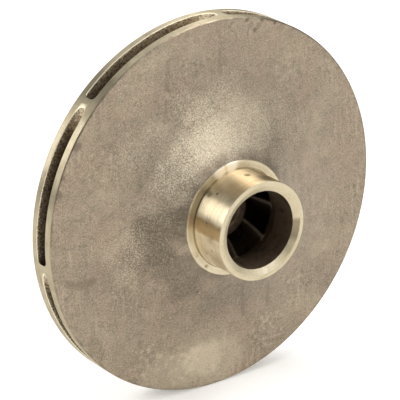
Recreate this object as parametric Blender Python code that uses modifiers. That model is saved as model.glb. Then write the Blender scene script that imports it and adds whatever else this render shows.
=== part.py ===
"""Closed bronze impeller of a small circulator pump, 5 1/4 inches across.

The real impeller is one sand casting that is turned on its neck, rim, hub faces and bore. Its
features are kept apart here as solids with a hairline gap: four rings of the dished front shroud, the
flat back shroud and the web that thickens it towards the hub, seven swept vanes, the suction neck and
its collar, and the shaft hub.

Every shape is worked out in the impeller's own frame, where the shaft is Z and heights are measured
from the back face of the hub towards the neck. One empty then lays the shaft along Y, so that the
neck points to -Y and the origin is the middle of the hub's back face, where a shaft shoulder bears.
All values are in metres.
"""

import math

import bmesh
import bpy
import numpy as np

# Rim and shrouds
OUTER_RADIUS = 0.066675
BACK_WALL = 0.0028
OUTLET_WIDTH = 0.00476
FRONT_WALL = 0.0035
FRONT_CORNER = 0.0004
BACK_CORNER = 0.0005
DISH_RISE = 0.0116
DISH_POWER = 2.3

# Rings of the front shroud from the rim inwards, each with its inner radius. The last ends at the collar
SHROUD_RINGS = (
    ("front_shroud_rim", 0.056),
    ("front_shroud_plate", 0.044),
    ("front_shroud_slope", 0.031),
    ("front_shroud_cone", None),
)
RING_STEPS = 6

# Suction neck and its collar, heights above the front shroud's edge
NECK_RADIUS = 0.0175
NECK_LENGTH = 0.0269
COLLAR_RADIUS = 0.02035
COLLAR_HEIGHT = 0.0124
EDGE_BREAK = 0.0002
RELIEF_DEPTH = 0.0003
RELIEF_WIDTH = 0.0006
MOUTH_RADIUS = 0.0159
MOUTH_DEPTH = 0.0011
BORE_RADIUS = 0.0138
LIP_RADIUS = 0.0130
LIP_HEIGHT = 0.01685

# Throat inside the collar: how far its curve runs on from the cone, and how it stands under the lip
THROAT_RUN = 0.0052
THROAT_LIFT = 0.0012
THROAT_SPREAD = 0.0010
THROAT_DROP = 0.0037

# Hub, its nose in the eye and its boss behind the back shroud
SHAFT_RADIUS = 0.00635
KEYWAY_WIDTH = 0.003175
KEYWAY_REACH = 0.00795
BOSS_RADIUS = 0.0127
BOSS_HEIGHT = 0.0032
HUB_RADIUS = 0.016
NOSE_RADIUS = 0.0097
NOSE_HEIGHT = 0.0053
NOSE_ROUND = 0.0007
BORE_CHAMFER = 0.0005

# Flank of the hub, which sweeps up from the flat floor of the passages to the nose
FLOOR_FLAT_RADIUS = 0.032
FLANK_FOOT = 0.020
FLANK_WAIST = 0.0115
FLANK_RISE = 0.0037

# Vanes, angles in degrees about the shaft as seen from the neck
VANE_COUNT = 7
VANE_THICKNESS = 0.0023
EXIT_ANGLE = 30.0
INLET_ANGLE = 72.0
SWEEP = 129.9
FIRST_TIP = 84.9
INLET_HEIGHT = 0.0141
INLET_RADIUS = 0.01385
BEND_SHORTEST = 0.0005
BEND_LONGEST = 0.03

# Heights that follow from the sizes above
BACK_FACE = BOSS_HEIGHT
RIM_FLOOR = BACK_FACE + BACK_WALL
RIM_CEILING = RIM_FLOOR + OUTLET_WIDTH
FRONT_EDGE = RIM_CEILING + FRONT_WALL
COLLAR_FACE = FRONT_EDGE + COLLAR_HEIGHT
NECK_END = FRONT_EDGE + NECK_LENGTH
LIP = FRONT_EDGE + LIP_HEIGHT
NOSE = FRONT_EDGE + NOSE_HEIGHT

# Fineness of the meshes, and the gap between features that are one metal in the real casting
PART_GAP = 0.0003
NEAR = 0.000001
MERGE_DISTANCE = 0.00001
SMOOTH_ANGLE = 25.0
ARC_MIDDLE = 1.0 - math.sqrt(0.5)
RIM_SEGMENTS = 112
NECK_SEGMENTS = 72
HUB_SEGMENTS = 48
DISH_STEPS = 14
CURVE_STEPS = 7
VANE_STATIONS = 26
STATION_CROWDING = 1.25
CAMBER_POINTS = 600
BISECTIONS = 40

CAST_COLOUR = (0.392, 0.333, 0.242, 1.0)
TURNED_COLOUR = (0.694, 0.604, 0.407, 1.0)
CAST_ROUGHNESS = 0.55
TURNED_ROUGHNESS = 0.3


def clear_scene():
    """Remove whatever the scene holds."""
    for obj in list(bpy.data.objects):
        bpy.data.objects.remove(obj, do_unlink=True)


def new_collection(name):
    """Add a collection to the scene."""
    collection = bpy.data.collections.new(name)
    bpy.context.scene.collection.children.link(collection)
    return collection


def bronze(name, colour, roughness):
    """A bronze surface: metallic, with the colour and roughness of one finish."""
    material = bpy.data.materials.new(name)
    material.use_nodes = True
    shader = material.node_tree.nodes["Principled BSDF"]
    shader.inputs["Base Color"].default_value = colour
    shader.inputs["Metallic"].default_value = 1.0
    shader.inputs["Roughness"].default_value = roughness
    return material


def cubic(start, pull, push, end, steps):
    """Points along a cubic curve from start to end, both ends included."""
    points = []
    for t in np.linspace(0.0, 1.0, steps + 1):
        weights = ((1 - t) ** 3, 3 * t * (1 - t) ** 2, 3 * t * t * (1 - t), t ** 3)
        corners = (start, pull, push, end)
        radius = sum(weight * corner[0] for weight, corner in zip(weights, corners))
        height = sum(weight * corner[1] for weight, corner in zip(weights, corners))
        points.append((radius, height))
    return points


def dish_height(radius):
    """Height of the front shroud's outer skin, which rises from the rim to the collar."""
    start = OUTER_RADIUS - FRONT_CORNER
    share = max(0.0, (start - radius) / (start - COLLAR_RADIUS))
    return FRONT_EDGE + DISH_RISE * share ** DISH_POWER


def ceiling_line():
    """Inner face of the front shroud and throat, from the rim in to the lip of the neck's bore."""
    radii = np.linspace(OUTER_RADIUS, COLLAR_RADIUS, DISH_STEPS + 1)
    dish = [(radius, dish_height(radius) - FRONT_WALL) for radius in radii]
    root = dish[-1]
    pull = (COLLAR_RADIUS - THROAT_RUN, root[1] + THROAT_LIFT)
    push = (LIP_RADIUS + THROAT_SPREAD, LIP - THROAT_DROP)
    throat = cubic(root, pull, push, (LIP_RADIUS, LIP), CURVE_STEPS)
    return dish, throat


def floor_line():
    """Inner face of the back shroud and hub, from the rim in to the shoulder of the hub's nose."""
    flat = [(OUTER_RADIUS, RIM_FLOOR), (FLOOR_FLAT_RADIUS, RIM_FLOOR)]
    pull = (FLANK_FOOT, RIM_FLOOR)
    push = (FLANK_WAIST, RIM_FLOOR + FLANK_RISE)
    shoulder = (NOSE_RADIUS, NOSE - NOSE_ROUND)
    return flat, cubic(flat[-1], pull, push, shoulder, 2 * CURVE_STEPS)


def cut_line(line, value, axis=0):
    """Split a line where its radius passes a value, or its height with axis 1. Both halves hold the cut."""
    for index, (before, after) in enumerate(zip(line, line[1:])):
        if min(before[axis], after[axis]) <= value <= max(before[axis], after[axis]):
            share = (value - before[axis]) / (after[axis] - before[axis])
            cut = tuple(start + share * (end - start) for start, end in zip(before, after))
            head = [point for point in line[:index + 1] if math.dist(point, cut) > NEAR]
            tail = [point for point in line[index + 1:] if math.dist(point, cut) > NEAR]
            return head + [cut], [cut] + tail
    raise ValueError("the line doesn't reach the cut")


def bake(obj):
    """Turn an object's modifiers into its mesh, shaded smooth between its sharp edges."""
    graph = bpy.context.evaluated_depsgraph_get()
    mesh = bpy.data.meshes.new_from_object(obj.evaluated_get(graph))
    mesh.name = obj.name
    obj.modifiers.clear()
    obj.data = mesh
    mesh.shade_smooth()
    mesh.set_sharp_from_angle(angle=math.radians(SMOOTH_ANGLE))


def turned(name, profile, segments, material, collection):
    """Turn a closed profile about the shaft. It runs out and down on its outer side."""
    mesh = bpy.data.meshes.new(name)
    count = len(profile)
    vertices = [(radius, 0.0, height) for radius, height in profile]
    edges = [(index, (index + 1) % count) for index in range(count)]
    mesh.from_pydata(vertices, edges, [])
    mesh.materials.append(material)
    obj = bpy.data.objects.new(name, mesh)
    collection.objects.link(obj)
    screw = obj.modifiers.new("Turn", "SCREW")
    screw.axis = "Z"
    screw.steps = segments
    screw.render_steps = segments
    screw.use_merge_vertices = True
    screw.merge_threshold = MERGE_DISTANCE
    return obj


def front_shroud(material, collection):
    """The dished plate on the suction side as cast, in rings, the outermost with its turned rim."""
    dish, throat = ceiling_line()
    outer = OUTER_RADIUS
    rings = []
    for name, inner in SHROUD_RINGS:
        low = (inner or COLLAR_RADIUS) + PART_GAP
        ceiling = cut_line(dish + throat[1:], low)[0]
        if outer == OUTER_RADIUS:
            high = OUTER_RADIUS - FRONT_CORNER
            corner = [
                (OUTER_RADIUS - ARC_MIDDLE * FRONT_CORNER, FRONT_EDGE - ARC_MIDDLE * FRONT_CORNER),
                (OUTER_RADIUS, FRONT_EDGE - FRONT_CORNER),
            ]
        else:
            high = outer
            corner = []
            ceiling = cut_line(ceiling, outer)[1]
        skin = [(radius, dish_height(radius)) for radius in np.linspace(low, high, RING_STEPS)]
        obj = turned(name, skin + corner + ceiling, RIM_SEGMENTS, material, collection)
        bake(obj)
        rings.append(obj)
        outer = inner
    return rings


def back_shroud(material, collection):
    """The flat plate behind the vanes, with its turned rim."""
    inner = FLOOR_FLAT_RADIUS + PART_GAP
    profile = [
        (inner, RIM_FLOOR),
        (OUTER_RADIUS, RIM_FLOOR),
        (OUTER_RADIUS, BACK_FACE + BACK_CORNER),
        (OUTER_RADIUS - BACK_CORNER, BACK_FACE),
        (inner, BACK_FACE),
    ]
    obj = turned("back_shroud", profile, RIM_SEGMENTS, material, collection)
    bake(obj)
    return obj


def hub_web(material, collection):
    """The web between the flat plate and the hub, which thickens inwards."""
    inner = HUB_RADIUS + PART_GAP
    flank = cut_line(floor_line()[1], inner)[0]
    under = [(FLOOR_FLAT_RADIUS, BACK_FACE), (inner, BACK_FACE)]
    obj = turned("hub_web", flank[::-1] + under, RIM_SEGMENTS, material, collection)
    bake(obj)
    return obj


def suction_neck(material, collection):
    """The turned neck, from its mouth down to the groove at its root, and the lip inside."""
    foot = COLLAR_FACE + RELIEF_DEPTH + PART_GAP
    profile = [
        (MOUTH_RADIUS, NECK_END),
        (NECK_RADIUS - EDGE_BREAK, NECK_END),
        (NECK_RADIUS, NECK_END - EDGE_BREAK),
        (NECK_RADIUS, foot),
    ]
    profile += cut_line(ceiling_line()[1], foot, axis=1)[1]
    profile.append((BORE_RADIUS, NECK_END - MOUTH_DEPTH))
    obj = turned("suction_neck", profile, NECK_SEGMENTS, material, collection)
    bake(obj)
    return obj


def neck_collar(material, collection):
    """The turned collar at the root of the neck, its relief groove, and the throat inside."""
    top = COLLAR_FACE + RELIEF_DEPTH
    profile = [
        (NECK_RADIUS, top),
        (NECK_RADIUS - RELIEF_DEPTH, COLLAR_FACE),
        (NECK_RADIUS - RELIEF_DEPTH, COLLAR_FACE - RELIEF_WIDTH),
        (NECK_RADIUS + RELIEF_DEPTH, COLLAR_FACE - RELIEF_WIDTH),
        (NECK_RADIUS + RELIEF_WIDTH, COLLAR_FACE),
        (COLLAR_RADIUS - EDGE_BREAK, COLLAR_FACE),
        (COLLAR_RADIUS, COLLAR_FACE - EDGE_BREAK),
    ]
    profile += cut_line(ceiling_line()[1], top, axis=1)[0]
    obj = turned("neck_collar", profile, NECK_SEGMENTS, material, collection)
    bake(obj)
    return obj


def shaft_hub(material, collection, cutters):
    """The hub with its nose in the eye, its boss behind, and a keyed bore for the shaft."""
    flat, curve = floor_line()
    flank = cut_line(flat + curve[1:], HUB_RADIUS)[1]
    profile = [
        (SHAFT_RADIUS + BORE_CHAMFER, NOSE),
        (NOSE_RADIUS - NOSE_ROUND, NOSE),
        (NOSE_RADIUS - ARC_MIDDLE * NOSE_ROUND, NOSE - ARC_MIDDLE * NOSE_ROUND),
    ]
    profile += flank[::-1]
    profile += [
        (HUB_RADIUS, BACK_FACE),
        (BOSS_RADIUS, BACK_FACE),
        (BOSS_RADIUS, BACK_CORNER),
        (BOSS_RADIUS - BACK_CORNER, 0.0),
        (SHAFT_RADIUS + BORE_CHAMFER, 0.0),
        (SHAFT_RADIUS, BORE_CHAMFER),
        (SHAFT_RADIUS, NOSE - BORE_CHAMFER),
    ]
    obj = turned("shaft_hub", profile, HUB_SEGMENTS, material, collection)

    bpy.ops.mesh.primitive_cube_add(size=1.0)
    cutter = bpy.context.object
    cutter.name = "keyway_cutter"
    size_mesh(cutter, (KEYWAY_WIDTH, KEYWAY_REACH, 2.0 * NOSE))
    cutter.location = (0.0, KEYWAY_REACH / 2.0, NOSE / 2.0)
    for owner in list(cutter.users_collection):
        owner.objects.unlink(cutter)
    cutters.objects.link(cutter)
    cutter.hide_render = True
    cutter.display_type = "WIRE"
    keyway = obj.modifiers.new("Keyway", "BOOLEAN")
    keyway.operation = "DIFFERENCE"
    keyway.solver = "EXACT"
    keyway.object = cutter
    bake(obj)
    return obj


def size_mesh(obj, size):
    """Size the mesh of a unit cube, so that the object itself keeps a scale of one."""
    for vertex in obj.data.vertices:
        vertex.co = [value * factor for value, factor in zip(vertex.co, size)]


def camber():
    """Radii and angles of a vane's middle line, from inside the hub's nose to past the rim."""
    innermost = NOSE_RADIUS - VANE_THICKNESS
    outermost = OUTER_RADIUS + 2.0 * VANE_THICKNESS
    radii = np.geomspace(innermost, outermost, CAMBER_POINTS)
    exit_slope = 1.0 / math.tan(math.radians(EXIT_ANGLE))
    inlet_slope = 1.0 / math.tan(math.radians(INLET_ANGLE))

    def angles_for(length):
        share = np.exp(-np.maximum(radii - NOSE_RADIUS, 0.0) / length)
        slope = exit_slope - (exit_slope - inlet_slope) * share
        step = np.diff(np.log(radii)) * (slope[1:] + slope[:-1]) / 2.0
        sweep = np.concatenate(([0.0], np.cumsum(step)))
        return np.interp(OUTER_RADIUS, radii, sweep) - sweep

    low, high = BEND_SHORTEST, BEND_LONGEST
    for _ in range(BISECTIONS):
        middle = (low + high) / 2.0
        if np.interp(INLET_RADIUS, radii, angles_for(middle)) > math.radians(SWEEP):
            low = middle
        else:
            high = middle
    return radii, angles_for((low + high) / 2.0)


def vane_sides():
    """Radii and angles of a vane's two side faces, half its thickness either side of the camber."""
    radii, angles = camber()
    x = radii * np.cos(angles)
    y = radii * np.sin(angles)
    along_x = np.gradient(x)
    along_y = np.gradient(y)
    length = np.hypot(along_x, along_y)
    sides = []
    for half in (-VANE_THICKNESS / 2.0, VANE_THICKNESS / 2.0):
        side_x = x - half * along_y / length
        side_y = y + half * along_x / length
        sides.append((np.hypot(side_x, side_y), np.unwrap(np.arctan2(side_y, side_x))))
    return sides


def inset(line, gap):
    """Move a line of radius and height points sideways by a gap, to its left as it runs."""
    points = np.array(line)
    along = np.gradient(points, axis=0)
    along /= np.linalg.norm(along, axis=1)[:, None]
    return points + gap * np.column_stack((-along[:, 1], along[:, 0]))


def stations(line):
    """Points along a line at even steps of its length, from the eye out to the rim."""
    steps = np.concatenate(([0.0], np.cumsum(np.linalg.norm(np.diff(line, axis=0), axis=1))))
    wanted = np.linspace(0.0, 1.0, VANE_STATIONS) ** STATION_CROWDING * steps[-1]
    return np.column_stack([np.interp(wanted, steps, line[:, axis]) for axis in (0, 1)])


def vane_mesh():
    """One vane as a loft of upright sections between floor and ceiling, its tip flush with the rim."""
    dish, throat = ceiling_line()
    inlet = FRONT_EDGE + INLET_HEIGHT
    throat_end = [point for point in throat if point[1] < inlet - NEAR]
    throat_radius = np.interp(inlet, [point[1] for point in throat], [point[0] for point in throat])
    ceiling = inset(dish + throat_end[1:] + [(throat_radius, inlet)], PART_GAP)[::-1]
    flat, curve = floor_line()
    floor = inset(flat + curve[1:], -PART_GAP)[::-1]
    ceiling[-1, 0] = OUTER_RADIUS
    floor[-1, 0] = OUTER_RADIUS

    build = bmesh.new()
    rings = []
    first, second = vane_sides()
    for (floor_radius, floor_height), (top_radius, top_height) in zip(stations(floor), stations(ceiling)):
        corners = (
            (floor_radius, floor_height, first),
            (floor_radius, floor_height, second),
            (top_radius, top_height, second),
            (top_radius, top_height, first),
        )
        ring = []
        for radius, height, (side_radii, side_angles) in corners:
            angle = np.interp(radius, side_radii, side_angles)
            ring.append(build.verts.new((radius * math.cos(angle), radius * math.sin(angle), height)))
        rings.append(ring)
    for before, after in zip(rings, rings[1:]):
        for index in range(4):
            following = (index + 1) % 4
            build.faces.new((before[index], before[following], after[following], after[index]))
    build.faces.new(rings[0])
    build.faces.new(rings[-1])
    bmesh.ops.recalc_face_normals(build, faces=build.faces)
    mesh = bpy.data.meshes.new("vane")
    build.to_mesh(mesh)
    build.free()
    mesh.shade_smooth()
    mesh.set_sharp_from_angle(angle=math.radians(SMOOTH_ANGLE))
    return mesh


def vanes(material, collection):
    """Seven like vanes, one for each seventh of a turn."""
    mesh = vane_mesh()
    mesh.materials.append(material)
    objects = []
    for number in range(VANE_COUNT):
        obj = bpy.data.objects.new(f"vane_{number + 1}", mesh)
        obj.rotation_euler = (0.0, 0.0, math.radians(FIRST_TIP + number * 360.0 / VANE_COUNT))
        collection.objects.link(obj)
        objects.append(obj)
    return objects


def main():
    """Build the impeller and lay its shaft along Y."""
    clear_scene()
    parts = new_collection("circulator_impeller")
    cutters = new_collection("cutters")
    cast = bronze("sand_cast_bronze", CAST_COLOUR, CAST_ROUGHNESS)
    machined = bronze("turned_bronze", TURNED_COLOUR, TURNED_ROUGHNESS)

    shaft = bpy.data.objects.new("shaft_line", None)
    parts.objects.link(shaft)
    pieces = [
        back_shroud(cast, parts),
        hub_web(cast, parts),
        suction_neck(machined, parts),
        neck_collar(machined, parts),
        shaft_hub(cast, parts, cutters),
    ]
    pieces += front_shroud(cast, parts) + vanes(cast, parts)
    for piece in pieces:
        piece.parent = shaft
    shaft.rotation_euler = (math.radians(90.0), 0.0, 0.0)


main()
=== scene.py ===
"""A sand-cast bronze impeller from a small circulator pump, turned bright on its neck and rim.

The casting is modelled the way it is made. A blank is turned about the shaft, seven sand cores are
taken out of it, and what is left between two cores is a vane. The turned neck is a piece of its own
that meets the casting under the collar and at the lip of the bore, where the real surface changes.

Shapes are worked out in the impeller's own frame: the shaft is Z, and heights are measured from the
back face of the hub towards the neck. Each piece is then laid down with its shaft along Y.
Sizes are in metres.
"""

import logging
import math
from dataclasses import dataclass
from enum import Enum, IntEnum
from typing import Any, ClassVar, Iterable, Mapping, Sequence

import bmesh
import bpy
import numpy as np
from mathutils import Matrix, Vector, noise


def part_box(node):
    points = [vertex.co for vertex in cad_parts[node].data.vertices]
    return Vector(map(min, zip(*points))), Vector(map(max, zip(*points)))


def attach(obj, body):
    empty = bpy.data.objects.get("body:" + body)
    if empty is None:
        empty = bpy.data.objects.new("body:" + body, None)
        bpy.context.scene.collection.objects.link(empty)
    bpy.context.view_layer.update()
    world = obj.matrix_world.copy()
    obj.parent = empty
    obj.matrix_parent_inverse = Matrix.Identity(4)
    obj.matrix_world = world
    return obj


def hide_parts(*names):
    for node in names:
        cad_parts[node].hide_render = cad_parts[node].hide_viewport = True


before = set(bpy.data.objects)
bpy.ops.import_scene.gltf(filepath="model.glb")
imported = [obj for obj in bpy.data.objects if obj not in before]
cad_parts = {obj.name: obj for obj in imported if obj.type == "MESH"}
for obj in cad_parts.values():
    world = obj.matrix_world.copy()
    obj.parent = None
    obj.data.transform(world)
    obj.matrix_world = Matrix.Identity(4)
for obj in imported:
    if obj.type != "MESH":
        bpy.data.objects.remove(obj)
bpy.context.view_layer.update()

Point = tuple[float, float]
Place = tuple[float, float, float]
# Middle line of a vane: radii, angles about the shaft, and sines of its lean.
Camber = tuple[np.ndarray, np.ndarray, np.ndarray]
# Section of a core: share of the core's length, foot and head.
Section = tuple[float, np.ndarray, np.ndarray]
Node = bpy.types.Node
Socket = bpy.types.NodeSocket
Material = bpy.types.Material
Object = bpy.types.Object

LOG = logging.getLogger("impeller")
MM = 0.001
EASING_STEPS = 4
EASED = {"interpolation_type": "SMOOTHSTEP"}
# How high and how wide the swells of a sand mould are: broad ones, with small ones on them.
SWELLS = ((0.7, 14.0 * MM), (0.3, 5.0 * MM))


class Zone(IntEnum):
    """Surfaces that were made alike. The value is the place of their finish on a piece."""

    SAND_CAST = 0
    CORED = 1
    RIM = 2
    FACED = 3
    BORED = 4
    NECK = 5
    WORN = 6
    COLLAR = 7
    CHAMFERED = 8


@dataclass(frozen=True)
class Run:
    """One stretch of a turned outline.

    Attributes:
        zone: How the surface was made.
        points: Radius and height of each point, in order.
        swell: How far a cast surface stands off its true shape, either way.
    """

    zone: Zone
    points: list[Point]
    swell: float = 0.0


def curve(corners: Sequence[Sequence[float]], steps: int) -> list[Point]:
    """Points along a curve between two corners, both ends included.

    Args:
        corners: The ends of the curve and, between them, the corners that pull it. Two give a line.
        steps: Number of steps.

    Returns:
        The points, in order.
    """
    degree = len(corners) - 1
    places = np.array(corners)
    points = []
    for share in np.linspace(0.0, 1.0, steps + 1):
        weights = [
            math.comb(degree, power) * (1 - share) ** (degree - power) * share ** power
            for power in range(degree + 1)
        ]
        points.append((float(places[:, 0] @ weights), float(places[:, 1] @ weights)))
    return points


def spaced(start: Point, end: Point, spacing: float) -> list[Point]:
    """Points on a straight line, at most a spacing apart, both ends included.

    Args:
        start: First point.
        end: Last point.
        spacing: Longest step between two points.

    Returns:
        The points, in order.
    """
    return curve((start, end), max(1, math.ceil(math.dist(start, end) / spacing)))


def eased(before: Point, corner: Point, after: Point, setback: float) -> list[Point]:
    """A corner eased by a curve that starts and ends a setback away from it.

    Args:
        before: A point on the way to the corner.
        corner: The sharp corner.
        after: A point on the way from it.
        setback: Distance from the corner to the ends of the curve.

    Returns:
        The points of the curve, in order.
    """
    start, end = (
        np.array(corner) + (np.array(other) - corner) * setback / math.dist(other, corner)
        for other in (before, after)
    )
    return curve((start, corner, end), EASING_STEPS)


def distances(line: Sequence[Point] | np.ndarray) -> np.ndarray:
    """Distance of each point of a line from the line's start."""
    return np.concatenate(([0.0], np.cumsum(np.linalg.norm(np.diff(line, axis=0), axis=1))))


@dataclass(frozen=True)
class ImpellerSizes:
    """Driving sizes of the impeller, and the lines that its parts share.

    Attributes:
        outer_radius: Radius of the impeller. This size and the next three come from the frame.
        neck_end: Height of the end of the neck.
        back_face: Height of the back shroud's outer face.
        collar_radius: Radius of the collar at the neck's root.
        front_edge: Height of the front shroud's outer skin at the rim.
        rim_floor: Height of the water passage's floor at the rim.
        front_wall: Thickness of the front shroud.
        front_corner: How far the front shroud's rim is bevelled.
        dish_rise: How much higher the front shroud stands at the collar than at the rim.
        dish_power: How late it rises. 1 would be a plain cone.
        nose_radius: Radius of the hub's nose in the eye.
        nose: Height of the nose.
        nose_round: Round of its edge.
        flank_foot: Radius where the hub's flank runs out into the flat floor.
        flank_pull: Radius that the flank leaves that floor towards.
        flank_push: Radius and rise over the floor that it comes up to the nose from.
        shaft_radius: Radius of the shaft's bore.
        bore_chamfer: Chamfer at the bore's two ends.
        lip_radius: Radius of the lip where the neck's bore ends over the throat.
        lip: Height of the lip.
        throat_pull: How far in and up from its root the throat's curve leaves.
        throat_push: How far out and down from the lip it arrives from.
        parting_points: The two corners of the parting line between collar and lip.
        inlet_height: Height where a vane's inlet edge meets the throat.
        vane_count: Number of vanes.
        vane_thickness: Thickness of a vane at the rim.
        exit_angle: Angle between a vane and the rim, in degrees.
        inlet_angle: The same at the hub.
        sweep: Angle about the shaft from a vane's inlet to its tip, in degrees.
        sweep_from: Radius that the sweep is counted from.
        first_tip: Where the first vane's tip stands, in degrees from the right-hand side.
    """

    outer_radius: float
    neck_end: float
    back_face: float
    collar_radius: float
    front_edge: float = 14.26 * MM
    rim_floor: float = 6.0 * MM
    front_wall: float = 3.5 * MM
    front_corner: float = 0.4 * MM
    dish_rise: float = 11.6 * MM
    dish_power: float = 2.3
    nose_radius: float = 9.7 * MM
    nose: float = 19.56 * MM
    nose_round: float = 0.7 * MM
    flank_foot: float = 32.0 * MM
    flank_pull: float = 20.0 * MM
    flank_push: Point = (11.5 * MM, 3.7 * MM)
    shaft_radius: float = 6.35 * MM
    bore_chamfer: float = 0.5 * MM
    lip_radius: float = 13.0 * MM
    lip: float = 31.11 * MM
    throat_pull: Point = (5.2 * MM, 1.2 * MM)
    throat_push: Point = (1.0 * MM, 3.7 * MM)
    parting_points: tuple[Point, Point] = ((16.3 * MM, 25.4 * MM), (15.6 * MM, 28.0 * MM))
    inlet_height: float = 28.36 * MM
    vane_count: int = 7
    vane_thickness: float = 2.3 * MM
    exit_angle: float = 30.0
    inlet_angle: float = 72.0
    sweep: float = 129.9
    sweep_from: float = 13.85 * MM
    first_tip: float = 84.9

    dish_points: ClassVar[int] = 60
    bend_steps: ClassVar[int] = 40
    flank_steps: ClassVar[int] = 48
    floor_step: ClassVar[float] = 1.5 * MM
    camber_points: ClassVar[int] = 600
    camber_rounds: ClassVar[int] = 40

    @classmethod
    def from_frame(cls) -> "ImpellerSizes":
        """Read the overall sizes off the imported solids.

        Returns:
            The sizes.
        """
        rim_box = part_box("front_shroud_rim")
        collar_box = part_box("neck_collar")
        return cls(
            outer_radius=(rim_box[1].x - rim_box[0].x) / 2.0,
            neck_end=-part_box("suction_neck")[0].y,
            back_face=-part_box("back_shroud")[1].y,
            collar_radius=(collar_box[1].x - collar_box[0].x) / 2.0,
        )

    def dish(self, radius: float) -> float:
        """Height of the front shroud's outer skin.

        Args:
            radius: Radius at which it is wanted.

        Returns:
            The height.
        """
        start = self.outer_radius - self.front_corner
        share = max(0.0, (start - radius) / (start - self.collar_radius))
        return self.front_edge + self.dish_rise * share ** self.dish_power

    def throat(self, steps: int = bend_steps) -> list[Point]:
        """Curve under the collar that turns the flow from the bore into the passages.

        Args:
            steps: Number of steps.

        Returns:
            The points of the curve, from the ceiling of the passages up to the lip.
        """
        root = (self.collar_radius, self.dish(self.collar_radius) - self.front_wall)
        pull = (root[0] - self.throat_pull[0], root[1] + self.throat_pull[1])
        push = (self.lip_radius + self.throat_push[0], self.lip - self.throat_push[1])
        return curve((root, pull, push, (self.lip_radius, self.lip)), steps)

    def parting(self, gap: float) -> list[Point]:
        """Line inside the metal where the turned neck leaves the casting, from collar to lip.

        Args:
            gap: How far it is set off towards the neck.

        Returns:
            The four points of the line.
        """
        return [
            (self.collar_radius, self.dish(self.collar_radius) + gap),
            *((radius + gap, height + gap) for radius, height in self.parting_points),
            (self.lip_radius, self.lip + gap),
        ]

    def ceiling(self) -> np.ndarray:
        """Inner face of the front shroud.

        Returns:
            Its points, from the inlet edge of the vanes out to the rim.
        """
        radii = np.linspace(self.collar_radius, self.outer_radius, self.dish_points)
        cone = [(radius, self.dish(radius) - self.front_wall) for radius in radii]
        bend = [point for point in self.throat() if point[1] < self.inlet_height]
        return np.array([self.inlet_top()] + bend[:0:-1] + cone)

    def floor(self) -> np.ndarray:
        """Flank of the hub and inner face of the back shroud.

        Returns:
            Their points, from the nose out to the rim.
        """
        foot = (self.flank_foot, self.rim_floor)
        pull = (self.flank_pull, self.rim_floor)
        push = (self.flank_push[0], self.rim_floor + self.flank_push[1])
        flank = curve((foot, pull, push, self.inlet_foot()), self.flank_steps)
        flat = spaced(foot, (self.outer_radius, self.rim_floor), self.floor_step)
        return np.array(flank[::-1] + flat[1:])

    def inlet_top(self) -> Point:
        """Where the inlet edge of a vane meets the throat."""
        bend = np.array(self.throat())
        return float(np.interp(self.inlet_height, bend[:, 1], bend[:, 0])), self.inlet_height

    def inlet_foot(self) -> Point:
        """Where the inlet edge of a vane meets the hub, just under the round of its nose."""
        return self.nose_radius, self.nose - self.nose_round

    def camber(self) -> Camber:
        """Middle line of a vane, swept back from the hub to past the rim.

        Its angle eases from the hub's to the rim's, over the length that gives the vane its sweep.

        Returns:
            Radii, angles about the shaft from the vane's tip, and the sine of the angle that the vane
            makes with the direction of turning.
        """
        inner = self.nose_radius - self.vane_thickness
        outer = self.outer_radius + 2.0 * self.vane_thickness
        radii = np.geomspace(inner, outer, self.camber_points)
        at_rim = 1.0 / math.tan(math.radians(self.exit_angle))
        at_hub = 1.0 / math.tan(math.radians(self.inlet_angle))

        def lean(length: float) -> np.ndarray:
            """Cotangent of the vane's angle when it eases from hub to rim over a length."""
            return at_rim - (at_rim - at_hub) * np.exp(-np.maximum(radii - self.nose_radius, 0.0) / length)

        def angles(length: float) -> np.ndarray:
            """Turn of the middle line about the shaft when its angle eases over a length.

            Args:
                length: The length.

            Returns:
                The angle at each radius, none at the rim.
            """
            slope = lean(length)
            step = np.diff(np.log(radii)) * (slope[1:] + slope[:-1]) / 2.0
            turned = np.concatenate(([0.0], np.cumsum(step)))
            return np.interp(self.outer_radius, radii, turned) - turned

        too_short, too_long = 0.5 * MM, 30.0 * MM
        for _ in range(self.camber_rounds):
            middle = (too_short + too_long) / 2.0
            if np.interp(self.sweep_from, radii, angles(middle)) > math.radians(self.sweep):
                too_short = middle
            else:
                too_long = middle
        return radii, angles(too_short), 1.0 / np.sqrt(1.0 + lean(too_short) ** 2)


def joined(runs: Sequence[Run], fade: float) -> tuple[np.ndarray, list[int], list[float]]:
    """Join the stretches of a closed outline.

    Args:
        runs: The stretches. Each starts where the one before it ends.
        fade: Distance from a stretch's ends over which its swell dies away.

    Returns:
        The points, and the zone and the swell of each.
    """
    points: list[Point] = []
    zones: list[int] = []
    swells: list[float] = []
    for run in runs:
        span = distances(run.points)
        nearest_end = np.minimum(span, span[-1] - span)[:-1]
        points.extend(run.points[:-1])
        zones.extend([int(run.zone)] * len(nearest_end))
        swells.extend(run.swell * np.minimum(1.0, nearest_end / fade))
    return np.array(points), zones, swells


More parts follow.
